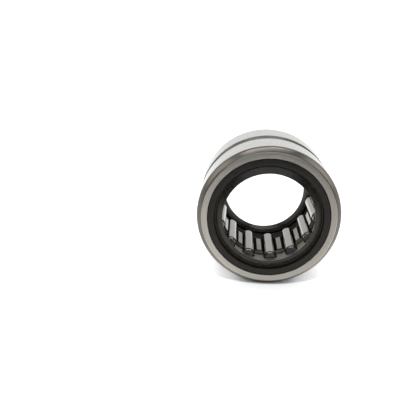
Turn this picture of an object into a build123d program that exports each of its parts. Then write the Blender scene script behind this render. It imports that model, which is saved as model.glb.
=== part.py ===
from build123d import *
import math
import os

# Needle roller bearing with a machined outer ring, one caged row of rollers, no inner ring
# and a lip seal in each end. The bearing axis is Y, the front end is at -Y and +Z is up.
# The origin is the centre of the bearing. All sizes are in millimetres.

# The bearing's three boundary sizes: 7/8 inch shaft, 1 3/8 inch housing, 1 inch wide.
shaft_diameter = 22.225
outside_diameter = 34.925
width = 25.4

# Rollers.
roller_count = 14
roller_diameter = 3.175             # 1/8 inch
roller_length = 13.5
roller_corner = 0.55
shaft_clearance = 0.035             # the circle inside the rollers is this much larger than the shaft
first_roller_angle = 5.5            # degrees from straight down, towards +X

# Outer ring.
raceway_clearance = 0.03            # between a roller and the raceway, on the radius
corner_radial = 1.08
corner_axial = 1.35
corner_outer_blend = 1.6            # where the corner runs into the outside diameter
corner_face_blend = 0.6
oil_groove_width = 3.9
oil_groove_depth = 1.05
oil_groove_wall_run = 0.15          # how far each groove wall leans
oil_hole_diameter = 2.4
oil_hole_angle = 115.0              # degrees from straight down, towards +X
flange_bore_diameter = 26.2
flange_thickness = 0.8
raceway_relief_depth = 0.14
raceway_relief_width = 0.3
seal_seat_diameter = 29.52
seal_seat_lead_in = 0.15

# Cage, pressed from strip.
cage_strip = 0.8
cage_bar_inner_radius = 11.9        # the flat middle of each bar, inside the pitch circle
cage_rim_inner_radius = 12.75       # the end rings and the ends of the bars
cage_flat_half_length = 4.0
cage_slope_run = 0.8
cage_end_float = 0.15
cage_rim_length = 2.3
cage_bar_face_width = 1.15          # the flat inner face of a bar, between its bevels
pocket_side_clearance = 0.1
pocket_end_clearance = 0.25
pocket_neck_width = 3.0             # narrower than a roller, so the roller can't fall inwards
pocket_neck_depth = 0.2             # from the bars' inner face out to the neck
pocket_corner = 0.5

# Seals.
seal_recess = 0.12                  # the seal's outer face lies this far inside the ring's face
seal_lead_in = 0.15
seal_heel_diameter = 24.5
heel_chamfer = 0.25
lip_land = 0.22                     # length of the lip's edge that meets the shaft
lip_edge_bevel = 0.08
lip_front_width = 0.16
lip_cone_radius = 11.72             # the hollow behind the lip: its bend, from the flange
lip_cone_start = 0.95
lip_cone_blend = 0.8
band_inner_radius = 13.25           # the flat band round the seal ends here, in a small round
band_blend = 0.22
moat_outer_radius = 12.98           # floor of the moulded groove between the band and the lip
moat_inner_radius = 12.78
moat_depth = 0.85
insert_thickness = 0.35
insert_cover = 0.36                 # rubber between the insert and the seal seat
insert_inner_radius = 12.9
insert_depth = 1.65

half_width = width / 2
outer_radius = outside_diameter / 2
roller_radius = roller_diameter / 2
bore_radius = (shaft_diameter + shaft_clearance) / 2
pitch_radius = bore_radius + roller_radius
raceway_radius = pitch_radius + roller_radius + raceway_clearance
pocket_half_length = roller_length / 2 + pocket_end_clearance
cage_half_length = pocket_half_length + cage_rim_length
flange_inside = cage_half_length + cage_end_float
flange_outside = flange_inside + flange_thickness
seal_seat_radius = seal_seat_diameter / 2
seal_face = half_width - seal_recess
heel_radius = seal_heel_diameter / 2
insert_outer_radius = seal_seat_radius - insert_cover


def turned(points, blends=()):
    """A solid of revolution about Y. Each point is (radius, distance along Y).

    blends is a list of (point, radius) pairs: corners of the outline that are rounded."""
    section = make_face(Polyline(*points, close=True))
    for corner, radius in blends:
        section = fillet(nearest_vertex(section, corner), radius)
    return revolve(section, Axis.Y)


def nearest_vertex(section, corner):
    """The section's vertex at a corner of its outline."""
    return section.vertices().sort_by_distance((corner[0], corner[1], 0))[0]


def mirrored_points(half_outline):
    """Close an outline given for Y >= 0 with its mirror image for Y < 0."""
    other_half = [(radius, -y) for radius, y in reversed(half_outline)]
    return half_outline + other_half


def around(angle_degrees, radius):
    """A place at this radius, at an angle from straight down towards +X."""
    angle = math.radians(angle_degrees)
    return (radius * math.sin(angle), 0, -radius * math.cos(angle))


def roller_angle(index):
    return first_roller_angle + 360 * index / roller_count


def outer_ring():
    """The channel-shaped ring: raceway, two flanges, seal seats, oil groove and oil hole."""
    groove_floor = outer_radius - oil_groove_depth
    relief_radius = raceway_radius + raceway_relief_depth
    relief_start = flange_inside - raceway_relief_width
    half_outline = [
        (groove_floor, oil_groove_width / 2 - oil_groove_wall_run),
        (outer_radius, oil_groove_width / 2),
        (outer_radius, half_width - corner_axial),
        (outer_radius - corner_radial, half_width),
        (seal_seat_radius + seal_seat_lead_in, half_width),
        (seal_seat_radius, half_width - seal_seat_lead_in),
        (seal_seat_radius, flange_outside),
        (flange_bore_diameter / 2, flange_outside),
        (flange_bore_diameter / 2, flange_inside),
        (relief_radius, flange_inside),
        (relief_radius, relief_start),
        (raceway_radius, relief_start - raceway_relief_depth),
    ]
    blends = []
    for side in (1, -1):
        blends.append(((outer_radius, side * (half_width - corner_axial)), corner_outer_blend))
        blends.append(((outer_radius - corner_radial, side * half_width), corner_face_blend))
    ring = turned(mirrored_points(half_outline), blends)
    hole_middle = (outer_radius + raceway_radius) / 2
    hole_direction = Vector(*around(oil_hole_angle, 1))
    hole_plane = Plane(origin=around(oil_hole_angle, hole_middle), z_dir=hole_direction)
    hole = hole_plane * Cylinder(oil_hole_diameter / 2, 2 * (outer_radius - raceway_radius))
    return ring - hole


def cage_blank():
    """The M-shaped strip section turned about Y, before its pockets are pierced."""
    slope_end = cage_flat_half_length + cage_slope_run
    # The outer side of the slope is set back so that the strip keeps its thickness.
    rise = cage_rim_inner_radius - cage_bar_inner_radius
    lean = math.atan2(rise, cage_slope_run)
    set_back = cage_strip * math.tan(lean / 2)
    half_outline = [
        (cage_bar_inner_radius + cage_strip, cage_flat_half_length - set_back),
        (cage_rim_inner_radius + cage_strip, slope_end - set_back),
        (cage_rim_inner_radius + cage_strip, cage_half_length),
        (cage_rim_inner_radius, cage_half_length),
        (cage_rim_inner_radius, slope_end),
        (cage_bar_inner_radius, cage_flat_half_length),
    ]
    return turned(mirrored_points(half_outline))


def pocket_mouth():
    """The pocket's opening towards the shaft: a neck, then bevels on the bars to each side.

    It is made for a roller straight below the axis, so the shaft's side is up."""
    face_angle = math.pi / roller_count - cage_bar_face_width / 2 / cage_bar_inner_radius
    face_edge = cage_bar_inner_radius * math.sin(face_angle)
    face_height = pitch_radius - cage_bar_inner_radius * math.cos(face_angle)
    neck = pocket_neck_width / 2
    neck_height = pitch_radius - cage_bar_inner_radius - pocket_neck_depth
    half_outline = [
        (neck, 0),
        (neck, neck_height),
        (face_edge, face_height),
        (face_edge, face_height + cage_strip),
    ]
    other_half = [(-x, height) for x, height in reversed(half_outline)]
    section = Plane.XZ * make_face(Polyline(*half_outline, *other_half, close=True))
    return extrude(section, pocket_half_length, both=True)


def pocket_cutter(angle_degrees):
    """One roller's pocket: a channel that is round like the roller, and its mouth."""
    pocket_radius = roller_radius + pocket_side_clearance
    channel = Cylinder(pocket_radius, 2 * pocket_half_length)
    channel = fillet(channel.edges().filter_by(GeomType.CIRCLE), pocket_corner)
    cutter = Rot(90, 0, 0) * channel + pocket_mouth()
    return Rot(0, -angle_degrees, 0) * (Pos(0, 0, -pitch_radius) * cutter)


def cage():
    """The one-piece cage with a pocket for each roller."""
    body = cage_blank()
    for index in range(roller_count):
        body = body - pocket_cutter(roller_angle(index))
    return body


def roller(index):
    """A needle roller with rounded corners, lying along Y in its pocket."""
    needle = Cylinder(roller_radius, roller_length)
    needle = fillet(needle.edges().filter_by(GeomType.CIRCLE), roller_corner)
    return Pos(*around(roller_angle(index), pitch_radius)) * (Rot(90, 0, 0) * needle)


def seal_insert():
    """The L-shaped steel ring that stiffens the rear seal."""
    tube_inner_radius = insert_outer_radius - insert_thickness
    outline = [
        (insert_inner_radius, flange_outside),
        (insert_outer_radius, flange_outside),
        (insert_outer_radius, flange_outside + insert_depth),
        (tube_inner_radius, flange_outside + insert_depth),
        (tube_inner_radius, flange_outside + insert_thickness),
        (insert_inner_radius, flange_outside + insert_thickness),
    ]
    return turned(outline)


def seal_lip():
    """The rear seal's rubber: a band in its seat, a moulded groove and a lip that leans outwards."""
    band_edge = (band_inner_radius, seal_face)
    lip_bend = (lip_cone_radius, flange_outside + lip_cone_start)
    lip_front = seal_face - lip_edge_bevel
    outline = [
        (heel_radius, flange_outside),
        (seal_seat_radius, flange_outside),
        (seal_seat_radius, seal_face - seal_lead_in),
        (seal_seat_radius - seal_lead_in, seal_face),
        band_edge,
        (moat_outer_radius, seal_face - moat_depth),
        (moat_inner_radius, seal_face - moat_depth),
        (bore_radius + lip_front_width, seal_face),
        (bore_radius, lip_front),
        (bore_radius, lip_front - lip_land),
        lip_bend,
        (heel_radius, flange_outside + heel_chamfer),
    ]
    blends = [(band_edge, band_blend), (lip_bend, lip_cone_blend)]
    return turned(outline, blends) - seal_insert()


def to_front(rear_piece):
    return mirror(rear_piece, about=Plane.XZ)


def save(piece, node):
    export_step(piece, os.path.join("parts", node + ".step"))


os.makedirs("parts", exist_ok=True)
save(outer_ring(), "outer_ring")
save(cage(), "cage")
for number in range(1, roller_count + 1):
    save(roller(number - 1), f"roller_{number:02d}")
save(seal_lip(), "rear_seal_lip")
save(seal_insert(), "rear_seal_insert")
save(to_front(seal_lip()), "front_seal_lip")
save(to_front(seal_insert()), "front_seal_insert")
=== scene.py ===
import math
import random

import bmesh
import bpy
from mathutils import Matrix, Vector


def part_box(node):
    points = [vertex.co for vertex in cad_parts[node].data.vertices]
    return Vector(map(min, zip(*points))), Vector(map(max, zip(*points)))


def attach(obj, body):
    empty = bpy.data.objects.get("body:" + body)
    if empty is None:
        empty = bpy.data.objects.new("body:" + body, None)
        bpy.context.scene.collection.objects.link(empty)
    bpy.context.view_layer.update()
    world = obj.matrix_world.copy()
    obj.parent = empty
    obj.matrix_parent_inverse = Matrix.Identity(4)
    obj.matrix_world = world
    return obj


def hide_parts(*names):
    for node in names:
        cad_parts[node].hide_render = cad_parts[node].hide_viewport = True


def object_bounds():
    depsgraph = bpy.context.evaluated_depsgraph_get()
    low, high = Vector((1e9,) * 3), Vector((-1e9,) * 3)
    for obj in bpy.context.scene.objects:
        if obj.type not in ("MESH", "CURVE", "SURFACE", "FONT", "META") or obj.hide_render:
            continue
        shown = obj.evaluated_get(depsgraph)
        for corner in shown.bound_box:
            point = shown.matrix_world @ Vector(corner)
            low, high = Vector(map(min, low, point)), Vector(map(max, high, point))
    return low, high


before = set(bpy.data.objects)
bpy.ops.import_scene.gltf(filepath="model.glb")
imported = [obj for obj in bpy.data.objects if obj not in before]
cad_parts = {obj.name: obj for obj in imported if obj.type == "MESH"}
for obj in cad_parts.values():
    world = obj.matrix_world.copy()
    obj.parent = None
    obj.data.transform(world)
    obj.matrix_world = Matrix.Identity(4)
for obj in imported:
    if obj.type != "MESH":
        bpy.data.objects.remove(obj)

cad_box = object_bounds()

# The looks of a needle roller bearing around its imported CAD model. The bearing's axis is Y, its
# front end is at -Y and +Z is up. Blender's unit is the metre: MM turns millimetres to metres.
MM = 0.001

# Sizes that the frame gives.
ring_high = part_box("outer_ring")[1]
outer_radius = ring_high.x
half_width = ring_high.y
seal_low, seal_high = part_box("rear_seal_lip")
seat_radius = seal_high.x
seal_face = seal_high.y
flange_outside = seal_low.y
insert_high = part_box("rear_seal_insert")[1]
cage_half_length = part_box("cage")[1].y
roller_nodes = sorted(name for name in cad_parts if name.startswith("roller_"))
roller_low, roller_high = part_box(roller_nodes[0])
roller_radius = (roller_high.x - roller_low.x) / 2
roller_half_length = roller_high.y
first_roller = (roller_low + roller_high) / 2
pitch_radius = first_roller.length
first_angle = math.atan2(first_roller.x, -first_roller.z)   # from straight down, towards +X
half_sector = math.pi / len(roller_nodes)                   # half the angle between two rollers

# Sizes that no box gives, as in the CAD model.
RACEWAY_CLEARANCE = 0.03 * MM
CORNER_RADIAL, CORNER_AXIAL = 1.08 * MM, 1.35 * MM
CORNER_OUTER_BLEND, CORNER_FACE_BLEND = 1.6 * MM, 0.6 * MM
GROOVE_HALF_WIDTH, GROOVE_DEPTH, GROOVE_WALL_RUN = 1.95 * MM, 1.05 * MM, 0.15 * MM
OIL_HOLE_RADIUS, OIL_HOLE_ANGLE = 1.2 * MM, math.radians(115)
FLANGE_RADIUS, FLANGE_THICKNESS = 13.1 * MM, 0.8 * MM
RELIEF_DEPTH, RELIEF_WIDTH = 0.14 * MM, 0.3 * MM
LEAD_IN = 0.15 * MM
STRIP, BAR_RADIUS, RIM_RADIUS = 0.8 * MM, 11.9 * MM, 12.75 * MM
FLAT_HALF_LENGTH, SLOPE_RUN = 4.0 * MM, 0.8 * MM
POCKET_SIDE_GAP, POCKET_END_GAP, POCKET_CORNER = 0.1 * MM, 0.25 * MM, 0.5 * MM
BAR_FACE_WIDTH, NECK_HALF_WIDTH, NECK_DEPTH = 1.15 * MM, 1.5 * MM, 0.2 * MM
ROLLER_CORNER = 0.55 * MM
LIP_RADIUS, LIP_LAND, LIP_FRONT, LIP_BEVEL = 11.13 * MM, 0.22 * MM, 0.16 * MM, 0.08 * MM
CONE_RADIUS, CONE_START = 11.72 * MM, 0.95 * MM
HEEL_RADIUS, HEEL_CHAMFER = 12.25 * MM, 0.25 * MM
BAND_RADIUS, MOAT_OUTER, MOAT_INNER, MOAT_DEPTH = 13.25 * MM, 12.98 * MM, 12.78 * MM, 0.85 * MM
BAND_BLEND, CONE_BLEND = 0.22 * MM, 0.8 * MM
INSERT_THICKNESS, INSERT_INNER_RADIUS = 0.35 * MM, 12.9 * MM

raceway_radius = pitch_radius + roller_radius + RACEWAY_CLEARANCE
pocket_radius = roller_radius + POCKET_SIDE_GAP
pocket_half_length = roller_half_length + POCKET_END_GAP

# Worn edges and small rounds, which only the looks have.
GROOVE_FLOOR_ROUND, GROOVE_EDGE, SEAT_EDGE = 0.3 * MM, 0.06 * MM, 0.04 * MM
FLANGE_OUTER_EDGE, FLANGE_INNER_EDGE, RELIEF_EDGE = 0.08 * MM, 0.12 * MM, 0.05 * MM
COUNTERSINK = 0.18 * MM
SHEET_EDGE, SHEET_BEND = 0.06 * MM, 0.12 * MM
RUBBER_EDGE, LIP_EDGE, MOAT_ROUND = 0.05 * MM, 0.03 * MM, 0.08 * MM
ROLLER_DISH, ROLLER_END_REACH = 0.03 * MM, 0.08 * MM
CAGE_EDGE, CAGE_BEND = 0.09 * MM, 0.1 * MM

# How finely the meshes are divided.
RING_TURNS, SEAL_TURNS, ROLLER_TURNS, DRILL_TURNS = 360, 288, 96, 64
SIDE_STEPS, CORNER_STEPS, END_STEPS = 30, 12, 8     # along a quarter of a pocket's edge
SPANS = 5                                           # from a pocket's edge to the border of its share
EDGE_STEPS, WALL_STEPS = 4, 5                       # through the cage's strip
SAME_PLACE = 1e-8                                   # vertices this near to each other are joined
SHARP_ANGLE = math.radians(35)


# Mesh helpers

def rounded(outline, steps=6):
    """A closed outline of (radius, distance along Y) with some of its corners turned to arcs.

    A corner with a third number is rounded to that radius."""
    made = []
    for index, (radius, along, *blend) in enumerate(outline):
        here = Vector((radius, along))
        if not blend:
            made.append(here)
            continue
        before = (Vector(outline[index - 1][:2]) - here).normalized()
        after = (Vector(outline[(index + 1) % len(outline)][:2]) - here).normalized()
        half_angle = before.angle(after) / 2
        centre = here + (before + after).normalized() * blend[0] / math.sin(half_angle)
        start = here + before * blend[0] / math.tan(half_angle) - centre
        end = here + after * blend[0] / math.tan(half_angle) - centre
        turn = math.atan2(start.x * end.y - start.y * end.x, start.dot(end))
        for step in range(steps + 1):
            angle = turn * step / steps
            made.append(centre + Vector((start.x * math.cos(angle) - start.y * math.sin(angle),
                                         start.x * math.sin(angle) + start.y * math.cos(angle))))
    return made


def new_piece(name, vertices, faces, materials, slots=None):
    """A smooth-shaded mesh object whose doubled vertices are joined and whose faces look outwards."""
    mesh = bpy.data.meshes.new(name)
    mesh.from_pydata([tuple(vertex) for vertex in vertices], [], faces)
    for material in materials:
        mesh.materials.append(material)
    if slots:
        mesh.polygons.foreach_set("material_index", slots)
    shape = bmesh.new()
    shape.from_mesh(mesh)
    bmesh.ops.remove_doubles(shape, verts=shape.verts, dist=SAME_PLACE)
    bmesh.ops.recalc_face_normals(shape, faces=shape.faces)
    shape.to_mesh(mesh)
    shape.free()
    finish_shading(mesh)
    piece = bpy.data.objects.new(name, mesh)
    bpy.context.scene.collection.objects.link(piece)
    return piece


def finish_shading(mesh):
    """Shade a mesh smooth, but for its sharp edges."""
    mesh.polygons.foreach_set("use_smooth", [True] * len(mesh.polygons))
    mesh.set_sharp_from_angle(angle=SHARP_ANGLE)


def weigh_normals(piece):
    """Flat faces keep their own direction, and the small rounds between them take up the turn."""
    piece.modifiers.new("flat faces stay flat", "WEIGHTED_NORMAL").keep_sharp = True


def lathe(name, outline, materials, zone=None, turns=SEAL_TURNS):
    """A closed outline of (radius, distance along Y) turned about Y.

    zone gives the material index of the stretch between two points of the outline."""
    vertices, faces, slots = [], [], []
    count = len(outline)
    for turn in range(turns):
        angle = 2 * math.pi * turn / turns
        for radius, along in outline:
            vertices.append((radius * math.sin(angle), along, -radius * math.cos(angle)))
    for turn in range(turns):
        this = turn * count
        following = (turn + 1) % turns * count
        for point in range(count):
            after = (point + 1) % count
            faces.append((this + point, this + after, following + after, following + point))
            slots.append(zone(outline[point], outline[after]) if zone else 0)
    piece = new_piece(name, vertices, faces, materials, slots)
    weigh_normals(piece)
    return piece


def both_ends(half_outline):
    """Close an outline given for Y >= 0 with its mirror image."""
    other_half = [(radius, -along, *blend) for radius, along, *blend in reversed(half_outline)]
    return half_outline + other_half


def at_end(outline, side):
    """An outline given for the rear end, at the rear end (side 1) or at the front end (side -1)."""
    return [(radius, side * along) for radius, along in outline]


# Materials

class Nodes:
    """Short ways to make the nodes of a tree and to feed them."""

    def __init__(self, tree):
        self.tree = tree

    def feed(self, socket, value):
        """Link a socket to another node's output, or set it to a number or a colour."""
        if isinstance(value, bpy.types.NodeSocket):
            self.tree.links.new(value, socket)
        else:
            socket.default_value = value

    def node(self, kind, *inputs, **settings):
        made = self.tree.nodes.new("ShaderNode" + kind)
        for setting, value in settings.items():
            setattr(made, setting, value)
        for index, value in enumerate(inputs):
            self.feed(made.inputs[index], value)
        return made

    def math(self, operation, *values):
        return self.node("Math", *values, operation=operation).outputs[0]

    def times(self, first, second):
        return self.math("MULTIPLY", first, second)

    def larger(self, first, second):
        return self.math("MAXIMUM", first, second)

    def weighted(self, first, weight, second):
        """The mean of two values, where the first counts for weight and the second for the rest."""
        return self.math("MULTIPLY_ADD", first, weight, self.times(second, 1 - weight))

    def between(self, value, low, high, start=0.0, end=1.0, **settings):
        """value's stretch from low to high, mapped to start and end and held outside them."""
        return self.node("MapRange", value, low, high, start, end, **settings).outputs[0]

    def vector(self, x, y, z):
        return self.node("CombineXYZ", x, y, z).outputs[0]


class Look(Nodes):
    """A node material: its Principled shader and the nodes that feed it."""

    def __init__(self, name, **sockets):
        self.material = bpy.data.materials.new(name)
        self.material.use_nodes = True
        super().__init__(self.material.node_tree)
        self.shader = self.tree.nodes["Principled BSDF"]
        for socket, value in sockets.items():
            self.feed(self.shader.inputs[socket.replace("_", " ")], value)

    def coordinates(self):
        """The object's own coordinates in millimetres, as x, y and z."""
        scaled = self.node("VectorMath", self.node("TexCoord").outputs["Object"], operation="SCALE")
        scaled.inputs["Scale"].default_value = 1 / MM
        return self.node("SeparateXYZ", scaled.outputs[0]).outputs

    def polar(self):
        """The radius about Y, the distance along Y and the direction round the axis.

        The direction is given by how far it points east, towards +X, and north, towards +Z."""
        x, y, z = self.coordinates()
        radius = self.math("SQRT", self.math("ADD", self.times(x, x), self.times(z, z)))
        return radius, y, self.math("DIVIDE", x, radius), self.math("DIVIDE", z, radius)

    def marks(self, fineness, length, detail=3.0):
        """Noise drawn out round the axis, as tools leave it on a turned or ground surface.

        fineness is how many marks there are to a millimetre, and length how often one breaks off."""
        radius, along, east, north = self.polar()
        # The slope keeps the marks apart on cylinders, faces and cones alike.
        slope = 1.7
        across = self.times(self.math("MULTIPLY_ADD", along, slope, radius), fineness)
        return self.noise(1.0, detail, self.vector(self.times(east, length), across,
                                                   self.times(north, length)))

    def noise(self, scale, detail, vector=None):
        """Noise of 0 to 1. Without a vector, scale is how many times it changes in a millimetre."""
        if vector is None:
            vector = self.vector(*self.coordinates())
        made = self.node("TexNoise", vector)
        made.inputs["Scale"].default_value = scale
        made.inputs["Detail"].default_value = detail
        made.inputs["Roughness"].default_value = 0.55
        return made.outputs["Fac"]

    def mix(self, share, first, second):
        made = self.node("Mix", data_type="RGBA")
        self.feed(made.inputs["Factor"], share)
        self.feed(made.inputs["A"], first)
        self.feed(made.inputs["B"], second)
        return made.outputs["Result"]

    def surface(self, tone, rough, height, depth):
        """Feed the shader and return the material. The bumps of height stand depth millimetres high."""
        self.feed(self.shader.inputs["Base Color"], tone)
        self.feed(self.shader.inputs["Roughness"], rough)
        bump = self.node("Bump")
        bump.inputs["Strength"].default_value = 1.0
        bump.inputs["Distance"].default_value = depth * MM
        self.feed(bump.inputs["Height"], height)
        self.feed(self.shader.inputs["Normal"], bump.outputs[0])
        return self.material


def colour(red, green, blue):
    return (red, green, blue, 1.0)


def ground_steel(name, light, dark, smooth, rough, tint=None):
    """Ground steel: fine marks round the axis over slow changes of tone, with faint brown spots.

    smooth and rough are its least and greatest roughness. tint is a darker, browner tone painted towards
    +X as shade."""
    look = Look(name, Metallic=1.0)
    fine = look.marks(16.0, 5.0)
    broad = look.marks(2.2, 2.0, detail=1.0)
    tone = look.mix(look.between(look.weighted(fine, 0.5, broad), 0.38, 0.62), dark, light)
    spots = look.between(look.noise(0.9, 5.0), 0.66, 0.74, 0.0, 0.35)
    tone = look.mix(spots, tone, colour(0.30, 0.24, 0.18))
    # Painted shade: the tone turns darker and browner towards +X.
    if tint:
        _, _, east, _ = look.polar()
        tone = look.mix(look.between(east, 0.1, 0.7, 0.0, 0.85), tone, tint)
    return look.surface(tone, look.between(fine, 0.3, 0.7, smooth, rough), fine, depth=0.00035)


def dark_steel(name, light, dark, smooth, rough, wear_and_shade=None):
    """Hardened steel that was never ground: turning marks under a brown oxide.

    A last argument, if given, changes its tone where it is handled, and paints shade on it."""
    look = Look(name, Metallic=1.0)
    cut = look.marks(7.0, 1.5, detail=2.0)
    blotches = look.marks(1.2, 4.0)
    tone = look.mix(look.between(look.weighted(cut, 0.4, blotches), 0.4, 0.6), dark, light)
    if wear_and_shade:
        tone = wear_and_shade(look, tone, blotches)
    return look.surface(tone, look.between(blotches, 0.35, 0.65, smooth, rough), cut, depth=0.0008)


def corner_wear_and_shade(look, tone, blotches):
    """The tone of the ring's corners: rubbed lighter, but for a line beside the ground outside, with
    painted shade at the two sides and underneath.
    """
    radius, _, east, north = look.polar()
    outer = outer_radius / MM
    rubbed = look.between(radius, outer - 0.42, outer - 0.12, 1.0, 0.0)
    rubbed = look.times(rubbed, look.between(blotches, 0.3, 0.6, 0.7, 1.0))
    tone = look.mix(rubbed, tone, colour(0.175, 0.157, 0.136))
    beside_face = look.between(radius, outer - 1.15, outer - 0.85, 0.6, 0.0)
    tone = look.mix(beside_face, tone, colour(0.30, 0.28, 0.25))
    # Painted shade: the corners are darker at the two sides and underneath.
    sides = look.larger(look.between(east, -0.9, -0.4, 0.5, 0.0),
                        look.between(east, 0.85, 0.97, 0.0, 0.55))
    underneath = look.between(north, -0.95, -0.75, 0.7, 0.0)
    return look.mix(look.larger(sides, underneath), tone, colour(0.055, 0.048, 0.041))


def roller_steel():
    """Fine-ground and tumbled rollers: an even satin with faint rings and smudges."""
    look = Look("roller_satin", Metallic=1.0)
    rings = look.marks(22.0, 4.0)
    smudge = look.noise(0.5, 3.0)
    tone = look.mix(look.between(smudge, 0.35, 0.7),
                    colour(0.325, 0.315, 0.297), colour(0.29, 0.278, 0.26))
    return look.surface(tone, look.between(smudge, 0.3, 0.7, 0.13, 0.19), rings, depth=0.0001)


def roller_end_steel():
    """The rollers' ends: duller, with the marks of the cut."""
    look = Look("roller_end_dark", Metallic=1.0)
    rings = look.marks(9.0, 1.5)
    smudge = look.noise(1.5, 3.0)
    tone = look.mix(look.between(smudge, 0.35, 0.65),
                    colour(0.31, 0.29, 0.268), colour(0.42, 0.395, 0.365))
    return look.surface(tone, look.between(smudge, 0.3, 0.7, 0.42, 0.54), rings, depth=0.0015)


# Where brown oil has settled on the cage: degrees from straight down towards +X, and the middle and
# reach along Y in millimetres. A stain is full within the first angle to each side, and it has
# faded out at the second.
OIL_STAINS = [(44, -4.6, 1.0), (80, -6.6, 1.8)]
STAIN_FULL, STAIN_FADED = math.radians(4), math.radians(9)


def cage_oil(look):
    """How much of the cage the brown oil covers: a thin film in places, and the stains."""
    _, along, east, north = look.polar()
    oil = look.between(look.noise(0.35, 4.0), 0.54, 0.68, 0.0, 0.6)
    for degrees, middle, reach in OIL_STAINS:
        angle = math.radians(degrees)
        facing = look.math("ADD", look.times(east, math.sin(angle)),
                           look.times(north, -math.cos(angle)))
        beside = look.between(facing, math.cos(STAIN_FADED), math.cos(STAIN_FULL))
        off_middle = look.math("ABSOLUTE", look.math("SUBTRACT", along, middle))
        within = look.between(off_middle, reach / 2, reach, 1.0, 0.0)
        oil = look.larger(oil, look.times(beside, within))
    return oil


def cage_steel():
    """Formed strip: burnished bars, a duller front rim painted lighter as light, dark sheared pocket
    walls and a rear end painted dark as shade, with films of brown oil.
    """
    look = Look("cage_strip", Specular_IOR_Level=0.0)
    radius, along, east, north = look.polar()
    mottle = look.noise(2.4, 5.0)
    drawn = look.noise(1.0, 3.0, look.vector(look.times(east, 60.0), look.times(along, 0.8),
                                             look.times(north, 60.0)))
    tone = look.mix(look.between(look.weighted(drawn, 0.5, mottle), 0.38, 0.64),
                    colour(0.14, 0.136, 0.124), colour(0.19, 0.186, 0.173))
    flat = FLAT_HALF_LENGTH / MM
    slope_end = flat + SLOPE_RUN / MM
    # Painted light: the front rim is lighter than the bars and the rear end.
    front_rim = look.between(along, -slope_end - 1.0, -slope_end, 1.0, 0.0)
    tone = look.mix(front_rim, tone,
                    look.mix(mottle, colour(0.385, 0.379, 0.343), colour(0.475, 0.469, 0.428)))
    tone = look.mix(cage_oil(look), tone, colour(0.38, 0.30, 0.22))
    # Below its burnished inner side the strip has the dark skin of the sheared pocket walls. Its rear end
    # is painted dark as shade. Neither is metallic, because metal turns grey where it is seen edge-on.
    beyond = look.math("ABSOLUTE", along)
    inner_side = look.between(beyond, flat, slope_end, BAR_RADIUS / MM, RIM_RADIUS / MM)
    below = look.between(look.math("SUBTRACT", radius, inner_side), 0.01, 0.04)
    skin_and_shade = look.larger(below, look.between(along, flat, flat + 0.3, 0.0, 0.9))
    tone = look.mix(skin_and_shade, tone,
                    look.mix(mottle, colour(0.016, 0.0145, 0.0125), colour(0.032, 0.029, 0.025)))
    look.feed(look.shader.inputs["Metallic"], look.math("SUBTRACT", 1.0, skin_and_shade))
    # The front rim is duller than the bars, and so are the slopes at the bars' ends.
    slope = look.times(look.between(beyond, flat, flat + 0.15),
                       look.between(beyond, slope_end - 0.1, slope_end, 0.25, 0.0))
    dull = look.larger(look.times(front_rim, 0.425), slope)
    rough = look.math("ADD", dull, look.between(mottle, 0.3, 0.7, 0.15, 0.24))
    return look.surface(tone, rough, drawn, depth=0.001)


def seal_rubber():
    """Moulded nitrile rubber: fine rings from the mould, a dull bloom and specks of dust."""
    look = Look("nitrile_rubber", Specular_IOR_Level=0.27, Specular_Tint=colour(1.0, 0.93, 0.84))
    rings = look.marks(5.0, 0.8, detail=2.0)
    bloom = look.noise(0.7, 5.0)
    grain = look.noise(18.0, 3.0)
    radius, along, _, north = look.polar()
    # The lips are lighter than the band, the front one the more so, and most of all in its lower half.
    lip = look.between(radius, MOAT_INNER / MM - 0.3, MOAT_INNER / MM, 1.0, 0.0)
    lip = look.times(lip, look.between(north, 0.2, 0.8, 1.0, 0.4))
    lip = look.times(lip, look.between(along, -1.0, 1.0, 1.0, 0.6))
    clean = look.mix(lip, colour(0.0080, 0.0076, 0.0068), colour(0.024, 0.022, 0.018))
    dull = look.mix(lip, colour(0.018, 0.017, 0.0145), colour(0.038, 0.034, 0.028))
    tone = look.mix(look.between(bloom, 0.35, 0.7), clean, dull)
    # Painted shade: the rubber is darkest in the hollow behind the lip's bend.
    bend = (flange_outside + CONE_START) / MM
    hollow = look.between(look.math("ABSOLUTE", along), bend - 0.2, bend + 0.25, 1.0, 0.0)
    tone = look.mix(hollow, tone, colour(0.004, 0.004, 0.004))
    specks = look.between(look.noise(9.0, 2.0), 0.70, 0.76, 0.0, 0.5)
    tone = look.mix(specks, tone, colour(0.10, 0.09, 0.075))
    # The lip is smoother than the band.
    smoother = look.between(radius, MOAT_OUTER / MM, BAND_RADIUS / MM, 0.12, 0.0)
    rough = look.math("SUBTRACT", look.between(bloom, 0.3, 0.7, 0.34, 0.5), smoother)
    return look.surface(tone, rough, look.weighted(rings, 0.7, grain), depth=0.003)


def insert_steel():
    """Sheet steel under grey phosphate crystals."""
    look = Look("phosphated_sheet", Metallic=0.9)
    crystals = look.noise(14.0, 4.0)
    tone = look.mix(look.between(crystals, 0.35, 0.65),
                    colour(0.13, 0.13, 0.125), colour(0.23, 0.225, 0.215))
    return look.surface(tone, look.between(crystals, 0.3, 0.7, 0.5, 0.62), crystals, depth=0.003)


# Pieces

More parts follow.
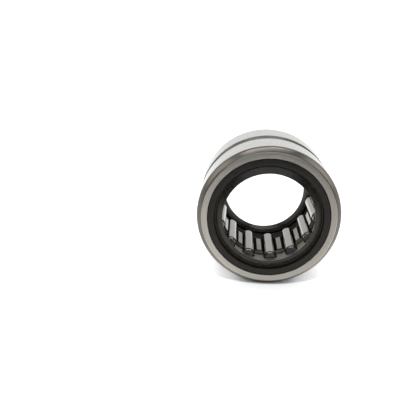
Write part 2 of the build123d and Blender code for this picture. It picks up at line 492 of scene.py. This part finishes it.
GROUND_OD, GROUND_FACE, OXIDE, CORNER, RACEWAY = range(5)
ring_materials = [
    ground_steel("ground_outside", colour(0.61, 0.61, 0.59), colour(0.525, 0.525, 0.51), 0.2, 0.3),
    # The faces get painted shade: darker and browner towards +X.
    ground_steel("ground_face", colour(0.44, 0.415, 0.372), colour(0.35, 0.33, 0.293), 0.34, 0.46,
                 tint=colour(0.32, 0.297, 0.262)),
    dark_steel("oxide", colour(0.50, 0.465, 0.42), colour(0.36, 0.33, 0.295), 0.36, 0.48),
    dark_steel("turned_corner", colour(0.16, 0.141, 0.12), colour(0.13, 0.115, 0.098), 0.28, 0.38,
               wear_and_shade=corner_wear_and_shade),
    ground_steel("raceway", colour(0.68, 0.67, 0.65), colour(0.56, 0.55, 0.53), 0.14, 0.22),
]


def ring_zone(first, second):
    """Which finish the outer ring has between two neighbouring points of its outline."""
    radius = (first[0] + second[0]) / 2
    along = abs(first[1] + second[1]) / 2
    hair = 0.004 * MM
    if min(first[0], second[0]) > outer_radius - hair:
        return GROUND_OD
    if min(abs(first[1]), abs(second[1])) > half_width - hair:
        return GROUND_FACE
    if radius < outer_radius - CORNER_RADIAL - LEAD_IN:
        return RACEWAY if along < flange_outside else OXIDE
    return CORNER if along > GROOVE_HALF_WIDTH else OXIDE


def make_outer_ring():
    """The machined ring, with the oil hole through the floor of its groove."""
    flange_inside = flange_outside - FLANGE_THICKNESS
    relief_start = flange_inside - RELIEF_WIDTH
    relief_radius = raceway_radius + RELIEF_DEPTH
    half_outline = [
        (outer_radius - GROOVE_DEPTH, GROOVE_HALF_WIDTH - GROOVE_WALL_RUN, GROOVE_FLOOR_ROUND),
        (outer_radius, GROOVE_HALF_WIDTH, GROOVE_EDGE),
        (outer_radius, half_width - CORNER_AXIAL, CORNER_OUTER_BLEND),
        (outer_radius - CORNER_RADIAL, half_width, CORNER_FACE_BLEND),
        (seat_radius + LEAD_IN, half_width, SEAT_EDGE),
        (seat_radius, half_width - LEAD_IN),
        (seat_radius, flange_outside),
        (FLANGE_RADIUS, flange_outside, FLANGE_OUTER_EDGE),
        (FLANGE_RADIUS, flange_inside, FLANGE_INNER_EDGE),
        (relief_radius, flange_inside),
        (relief_radius, relief_start, RELIEF_EDGE),
        (raceway_radius, relief_start - RELIEF_DEPTH),
    ]
    outline = rounded(both_ends(half_outline))
    ring = lathe("ring_body", outline, ring_materials, ring_zone, turns=RING_TURNS)
    drill(ring)
    return ring


def drill(ring):
    """Cut the oil hole: a straight drilling with a small countersink at the groove's floor."""
    floor = outer_radius - GROOVE_DEPTH
    inside = raceway_radius - 1 * MM
    # The countersink's slope of 45 degrees goes on above the floor, so that it is cut right through.
    above = floor + 2 * COUNTERSINK
    profile = [(0, inside), (OIL_HOLE_RADIUS, inside), (OIL_HOLE_RADIUS, floor - COUNTERSINK),
               (OIL_HOLE_RADIUS + 3 * COUNTERSINK, above), (0, above)]
    drill_bit = lathe("drill_bit", profile, [ring_materials[OXIDE]], turns=DRILL_TURNS)
    # The bit is turned about Y, so it is tipped until its axis points outwards at the hole.
    direction = Vector((math.sin(OIL_HOLE_ANGLE), 0, -math.cos(OIL_HOLE_ANGLE)))
    drill_bit.rotation_mode = "QUATERNION"
    drill_bit.rotation_quaternion = direction.to_track_quat("Y", "Z")
    cut = ring.modifiers.new("oil hole", "BOOLEAN")
    cut.object = drill_bit
    cut.operation = "DIFFERENCE"
    cut.solver = "EXACT"
    cut.material_mode = "TRANSFER"
    bpy.context.view_layer.update()
    graph = bpy.context.evaluated_depsgraph_get()
    drilled = bpy.data.meshes.new_from_object(ring.evaluated_get(graph))
    ring.modifiers.clear()
    ring.data = drilled
    finish_shading(drilled)
    weigh_normals(ring)
    bpy.data.objects.remove(drill_bit)


def insert_outline():
    """The L-shaped section of the rear seal's steel insert."""
    outer, depth = insert_high.x, insert_high.y
    return rounded([
        (INSERT_INNER_RADIUS, flange_outside),
        (outer, flange_outside),
        (outer, depth, SHEET_EDGE),
        (outer - INSERT_THICKNESS, depth, SHEET_EDGE),
        (outer - INSERT_THICKNESS, flange_outside + INSERT_THICKNESS, SHEET_BEND),
        (INSERT_INNER_RADIUS, flange_outside + INSERT_THICKNESS, SHEET_EDGE),
    ], steps=4)


def seal_outline():
    """The section of the rear seal's rubber, with the insert's bed left free."""
    lip_front = seal_face - LIP_BEVEL
    outer, depth = insert_high.x, insert_high.y
    return rounded([
        (HEEL_RADIUS, flange_outside),
        (INSERT_INNER_RADIUS, flange_outside),
        (INSERT_INNER_RADIUS, flange_outside + INSERT_THICKNESS),
        (outer - INSERT_THICKNESS, flange_outside + INSERT_THICKNESS, SHEET_BEND),
        (outer - INSERT_THICKNESS, depth),
        (outer, depth),
        (outer, flange_outside),
        (seat_radius, flange_outside),
        (seat_radius, seal_face - LEAD_IN, RUBBER_EDGE),
        (seat_radius - LEAD_IN, seal_face, RUBBER_EDGE),
        (BAND_RADIUS, seal_face, BAND_BLEND),
        (MOAT_OUTER, seal_face - MOAT_DEPTH, MOAT_ROUND),
        (MOAT_INNER, seal_face - MOAT_DEPTH, MOAT_ROUND),
        (LIP_RADIUS + LIP_FRONT, seal_face, RUBBER_EDGE),
        (LIP_RADIUS, lip_front, LIP_EDGE),
        (LIP_RADIUS, lip_front - LIP_LAND, LIP_EDGE),
        (CONE_RADIUS, flange_outside + CONE_START, CONE_BLEND),
        (HEEL_RADIUS, flange_outside + HEEL_CHAMFER),
    ])


def roller_outline():
    """A roller about its own axis: rounded corners, ends that are very slightly dished."""
    half_outline = [
        (0, roller_half_length - ROLLER_DISH),
        (roller_radius * 0.45, roller_half_length - ROLLER_DISH * 0.6),
        (roller_radius - ROLLER_CORNER * 1.25, roller_half_length),
        (roller_radius, roller_half_length, ROLLER_CORNER),
    ]
    return rounded(both_ends(half_outline), steps=8)


def roller_zone(first, second):
    """Which of a roller's two finishes, 0 for its satin or 1 for its ends, a stretch has."""
    return 1 if min(abs(first[1]), abs(second[1])) > roller_half_length - ROLLER_END_REACH else 0


def make_rollers():
    """The rollers share a mesh, and each is turned about its axis so that no two look the same."""
    chance = random.Random(7)
    materials = [roller_steel(), roller_end_steel()]
    first = lathe("needle", roller_outline(), materials, roller_zone, turns=ROLLER_TURNS)
    for node in roller_nodes:
        low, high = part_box(node)
        needle = bpy.data.objects.new("needle_" + node[-2:], first.data)
        bpy.context.scene.collection.objects.link(needle)
        needle.location = (low + high) / 2
        needle.rotation_euler = (0, chance.uniform(0, 2 * math.pi), 0)
        weigh_normals(needle)
        yield node, needle
    bpy.data.objects.remove(first)


# The cage's section. A depth of 0 is the strip's inner side and a depth of STRIP its outer side.
# The outer side of the slope is set back so that the strip keeps its thickness.

slope_set_back = STRIP * math.tan(math.atan2(RIM_RADIUS - BAR_RADIUS, SLOPE_RUN) / 2)


def strip_radius(along, depth):
    """The radius of the strip at a distance along Y, with its two bends drawn smooth."""
    start = FLAT_HALF_LENGTH - CAGE_BEND - slope_set_back * depth / STRIP
    share = (abs(along) - start) / (SLOPE_RUN + 2 * CAGE_BEND)
    share = min(max(share, 0.0), 1.0)
    rise = share * share * (3 - 2 * share)
    return BAR_RADIUS + (RIM_RADIUS - BAR_RADIUS) * rise + depth


def edge_round(depth):
    """How far a sheared edge is worn back at this depth in the strip."""
    short = CAGE_EDGE - min(depth, STRIP - depth, CAGE_EDGE)
    return CAGE_EDGE - math.sqrt(CAGE_EDGE ** 2 - short ** 2)


def pocket_half_width(radius):
    """Half the pocket's width at a radius: round like the roller, then a neck and a bevel."""
    cosine = (radius ** 2 + pitch_radius ** 2 - pocket_radius ** 2) / (2 * radius * pitch_radius)
    bore = radius * math.sin(math.acos(min(cosine, 1.0)))
    if radius > pitch_radius:
        return bore
    neck_radius = math.hypot(BAR_RADIUS + NECK_DEPTH, NECK_HALF_WIDTH)
    face_half = BAR_RADIUS * math.sin(half_sector - BAR_FACE_WIDTH / 2 / BAR_RADIUS)
    bevel = (face_half - NECK_HALF_WIDTH) / (neck_radius - BAR_RADIUS)
    return max(bore, NECK_HALF_WIDTH + bevel * max(0.0, neck_radius - radius))


def pocket_quarter():
    """Stations along a quarter of a pocket's edge, from the middle of its side to that of its end.

    A station is (kind, amount). The amount is the distance along Y on the side, and the share of
    the way round the corner or along the end."""
    side_length = pocket_half_length - POCKET_CORNER
    stations = [("side", side_length * step / SIDE_STEPS) for step in range(SIDE_STEPS)]
    stations += [("corner", step / CORNER_STEPS) for step in range(CORNER_STEPS + 1)]
    stations += [("end", step / END_STEPS) for step in range(1, END_STEPS + 1)]
    return stations


def station_points(station, depth):
    """A station's place on the pocket's edge, and its partner's on the border of the pocket's share.

    Each is (angle, distance along Y). The border is halfway to the next pocket, and then the end of
    the cage."""
    kind, amount = station
    worn = edge_round(depth)
    end = cage_half_length - worn
    straight = pocket_half_length - POCKET_CORNER

    def edge(along, inset, out):
        radius = strip_radius(along, depth)
        half = pocket_half_width(radius)
        return math.asin((half - inset + out) / radius)

    if kind == "side":
        return (edge(amount, 0, worn), amount), (half_sector, amount)
    if kind == "corner":
        turn = amount * math.pi / 2
        reach = POCKET_CORNER + worn
        along = straight + reach * math.sin(turn)
        on_edge = (edge(along, POCKET_CORNER, reach * math.cos(turn)), along)
        if amount <= 0.5:
            return on_edge, (half_sector, straight + (end - straight) * amount * 2)
        corner_angle = edge(along, POCKET_CORNER, 0)
        return on_edge, (half_sector + (corner_angle - half_sector) * (amount * 2 - 1), end)
    along = pocket_half_length + worn
    angle = edge(along, POCKET_CORNER, 0) * (1 - amount)
    return (angle, along), (angle, end)


def cage_quarter():
    """Grids over a quarter of a pocket's share of the cage, of (angle, distance along Y, depth).

    They are the strip's inner side and outer side, the pocket's wall and the cage's end."""
    stations = pocket_quarter()
    end_stations = stations[SIDE_STEPS + CORNER_STEPS // 2:]
    edge = [CAGE_EDGE * (1 - math.cos(math.pi / 2 * step / EDGE_STEPS)) for step in range(EDGE_STEPS + 1)]
    wall = [CAGE_EDGE + (STRIP - 2 * CAGE_EDGE) * step / WALL_STEPS for step in range(1, WALL_STEPS)]
    depths = edge + wall + [STRIP - depth for depth in reversed(edge)]
    shares = [span / SPANS for span in range(SPANS + 1)]
    grids = []
    for depth in (0.0, STRIP):
        grid = []
        for station in stations:
            (angle, along), (border_angle, border_along) = station_points(station, depth)
            grid.append([(angle + (border_angle - angle) * share,
                          along + (border_along - along) * share, depth) for share in shares])
        grids.append(grid)
    for which, part in ((0, stations), (1, end_stations)):
        grids.append([[(*station_points(station, depth)[which], depth) for depth in depths]
                      for station in part])
    return grids


def make_cage():
    """The one-piece cage, built as a mirrored quarter round each pocket."""
    quarter = cage_quarter()
    vertices, faces = [], []

    def add_grid(grid, centre, flip_angle, flip_along):
        start = len(vertices)
        width = len(grid[0])
        for angle, along, depth in (point for row in grid for point in row):
            radius = strip_radius(along, depth)
            turned = centre + angle * flip_angle
            vertices.append((radius * math.sin(turned), along * flip_along, -radius * math.cos(turned)))
        for row in range(len(grid) - 1):
            for column in range(width - 1):
                corner = start + row * width + column
                faces.append((corner, corner + 1, corner + width + 1, corner + width))

    for pocket in range(len(roller_nodes)):
        centre = first_angle + 2 * half_sector * pocket
        for flip_angle in (1, -1):
            for flip_along in (1, -1):
                for grid in quarter:
                    add_grid(grid, centre, flip_angle, flip_along)
    piece = new_piece("cage_body", vertices, faces, [cage_steel()])
    weigh_normals(piece)
    return piece


def install(piece, body, node):
    """Let a piece move with a body and stand for a CAD node, which is hidden."""
    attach(piece, body)
    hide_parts(node)


install(make_outer_ring(), "outer_ring", "outer_ring")
install(make_cage(), "cage", "cage")
for node, needle in make_rollers():
    install(needle, node, node)
rubber = seal_rubber()
phosphated = insert_steel()
for end, side in (("rear", 1), ("front", -1)):
    lip = lathe(end + "_rubber", at_end(seal_outline(), side), [rubber])
    install(lip, "outer_ring", end + "_seal_lip")
    stiffener = lathe(end + "_stiffener", at_end(insert_outline(), side), [phosphated])
    install(stiffener, "outer_ring", end + "_seal_insert")


# Studio

FLOOR_FRONT = -105 * MM
FLOOR_REACH = 1500 * MM
CAMERA_PLACE = (-7.8 * MM, -131.8 * MM, 42.65 * MM)
CAMERA_DOWN, CAMERA_LEFT = 0.310, 0.073     # how far it looks down and to the left, in radians


def make_floor():
    """A sheet of white card that glows, overexposed but for a painted shadow round the bearing, where the
    glow fades out.
    """
    level = cad_box[0].z
    look = Look("glowing_white_card", Roughness=0.9, Emission_Color=colour(1.0, 1.0, 0.995))
    fibre = look.noise(3.0, 3.0)
    look.feed(look.shader.inputs["Base Color"],
              look.mix(fibre, colour(0.84, 0.84, 0.835), colour(0.88, 0.88, 0.875)))
    x, y, _ = look.coordinates()
    aside = look.math("ABSOLUTE", x)
    sides = look.between(aside, 6.0, 16.0)
    # The painted shadow's front edge curves back to each side of the bearing's foot.
    front = -half_width / MM
    curved = look.math("MULTIPLY_ADD", look.times(x, x), -0.025, y)
    ahead = look.between(curved, front, front + 0.8, 1.0, 0.0)
    behind = look.between(y, 14.0, 30.0)
    glow_outside_painted_shadow = look.larger(sides, look.larger(ahead, behind))
    distant = look.between(look.larger(aside, y), 150.0, 400.0, 0.0, 0.2)
    # Painted light and shadow: the card glows away from the bearing, and a little more far off.
    look.feed(look.shader.inputs["Emission Strength"], look.math("MULTIPLY_ADD", glow_outside_painted_shadow, 0.6, distant))
    corners = [(-FLOOR_REACH, FLOOR_FRONT, level), (FLOOR_REACH, FLOOR_FRONT, level),
               (FLOOR_REACH, FLOOR_REACH, level), (-FLOOR_REACH, FLOOR_REACH, level)]
    card = new_piece("card", corners, [(0, 1, 2, 3)], [look.material])


def softbox(name, position, width, height, radiance, tint=(1.0, 1.0, 1.0)):
    """A soft rectangular light that looks at the bearing, and that no camera sees."""
    light = bpy.data.lights.new(name, "AREA")
    light.shape = "RECTANGLE"
    light.size = width
    light.size_y = height
    light.color = tint
    light.energy = radiance * math.pi * width * height
    box = bpy.data.objects.new(name, light)
    box.location = position
    box.rotation_euler = (-Vector(position)).to_track_quat("-Z", "Y").to_euler()
    box.visible_camera = False
    bpy.context.scene.collection.objects.link(box)


def make_world():
    """A white backdrop behind, and a darker studio overhead and in front of the bearing."""
    world = bpy.data.worlds.new("studio")
    bpy.context.scene.world = world
    world.use_nodes = True
    sky = Nodes(world.node_tree)
    _, y, z = sky.node("SeparateXYZ", sky.node("TexCoord").outputs["Generated"]).outputs
    behind = sky.between(y, -0.25, 0.15, interpolation_type="SMOOTHSTEP")
    low = sky.between(z, 0.62, 0.82, 1.0, 0.0, interpolation_type="SMOOTHSTEP")
    glow = sky.math("MULTIPLY_ADD", sky.times(behind, low), 0.88, 0.10)
    # What the camera sees of the backdrop is a little brighter still.
    seen = sky.times(sky.node("LightPath").outputs["Is Camera Ray"], 1.1)
    background = sky.tree.nodes["Background"]
    background.inputs["Color"].default_value = colour(1.0, 1.0, 1.0)
    sky.feed(background.inputs["Strength"], sky.larger(glow, seen))


def make_camera():
    data = bpy.data.cameras.new("camera")
    data.sensor_width = 36
    data.lens = 47.1
    data.clip_start = 5 * MM
    camera = bpy.data.objects.new("camera", data)
    camera.location = CAMERA_PLACE
    camera.rotation_euler = (math.pi / 2 - CAMERA_DOWN, 0, CAMERA_LEFT)
    bpy.context.scene.collection.objects.link(camera)
    bpy.context.scene.camera = camera


make_floor()
make_world()
softbox("overhead", (-0.01, 0.055, 0.35), 0.34, 0.08, radiance=6.5, tint=(0.93, 0.96, 1.0))
softbox("front", (0.0, -0.33, 0.265), 0.5, 0.14, radiance=2.35, tint=(0.86, 0.93, 1.0))
softbox("left", (-0.40, -0.02, 0.26), 0.3, 0.3, radiance=1.6)
softbox("right", (0.40, -0.02, 0.26), 0.3, 0.3, radiance=1.1)
make_camera()
bpy.context.scene.view_settings.view_transform = "Standard"
